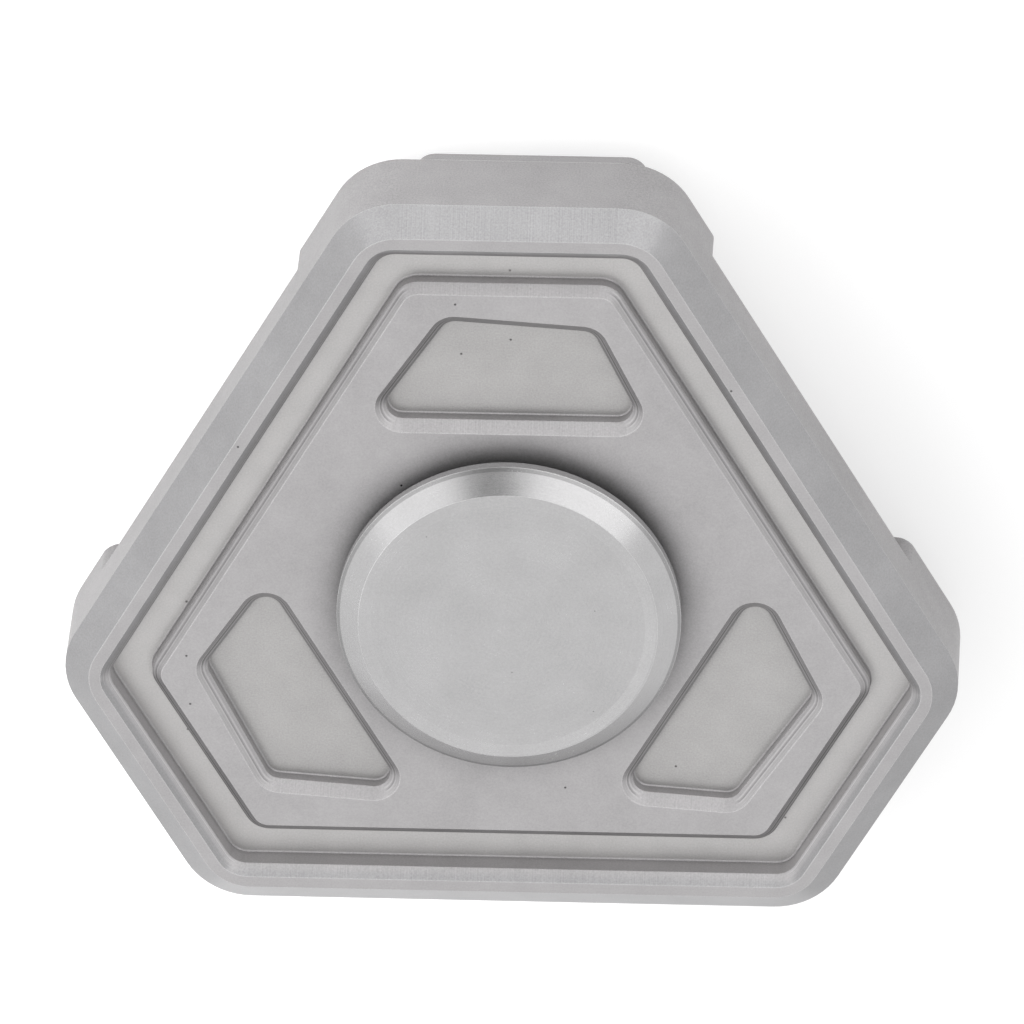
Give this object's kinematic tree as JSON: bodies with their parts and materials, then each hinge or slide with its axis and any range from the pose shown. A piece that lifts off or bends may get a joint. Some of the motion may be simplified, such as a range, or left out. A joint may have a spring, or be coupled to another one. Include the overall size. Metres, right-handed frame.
{
  "type": "fidget spinner",
  "caption": "Thick metal hand spinner: rounded triangular rotor with blunt corners, raised rim and blind pockets, turning on a ball bearing between bevelled thumb buttons.",
  "frame": {"origin": "centre of the back button's resting face, on the spin axis", "axes": "+Z along the spin axis from the back button to the front button, +Y towards the middle of one short side of the rotor"},
  "size_m": [0.0546, 0.0485, 0.0131],
  "materials": {
    "body_metal": "fine machined, matt",
    "button_metal": "turned, satin",
    "bar_metal": "fine machined, matt",
    "screw_steel": "turned, plain",
    "bearing_steel": "ground and polished",
    "shield_steel": "pressed sheet",
    "cage_metal": "turned"
  },
  "bodies": {
    "hub": {"front_button": "button_metal", "back_button": "button_metal", "axle_stud": "screw_steel", "front_spacer": "screw_steel", "back_spacer": "screw_steel", "bearing_inner_race": "bearing_steel"},
    "rotor": {"spinner_body": "body_metal", "edge_bar_1": "bar_metal", "edge_bar_2": "bar_metal", "edge_bar_3": "bar_metal", "bar_screws": "screw_steel", "bearing_lock_ring": "screw_steel", "bearing_outer_race": "bearing_steel", "front_shield": "shield_steel", "back_shield": "shield_steel", "front_shield_clip": "bearing_steel", "back_shield_clip": "bearing_steel"},
    "cage": {"ball_cage": "cage_metal", "ball_01": "bearing_steel", "ball_02": "bearing_steel", "ball_03": "bearing_steel", "ball_04": "bearing_steel", "ball_05": "bearing_steel", "ball_06": "bearing_steel", "ball_07": "bearing_steel", "ball_08": "bearing_steel", "ball_09": "bearing_steel", "ball_10": "bearing_steel"}
  },
  "joints": [
    {"name": "rotor_spin", "type": "hinge", "parent": "hub", "child": "rotor", "pos_m": [0, 0, 0.00655], "axis": [0, 0, 1], "continuous": true},
    {"name": "cage_spin", "type": "hinge", "parent": "hub", "child": "cage", "pos_m": [0, 0, 0.00655], "axis": [0, 0, 1], "continuous": true}
  ],
  "couplings": [
    {"joint": "cage_spin", "follows": "rotor_spin", "ratio": 0.605}
  ]
}
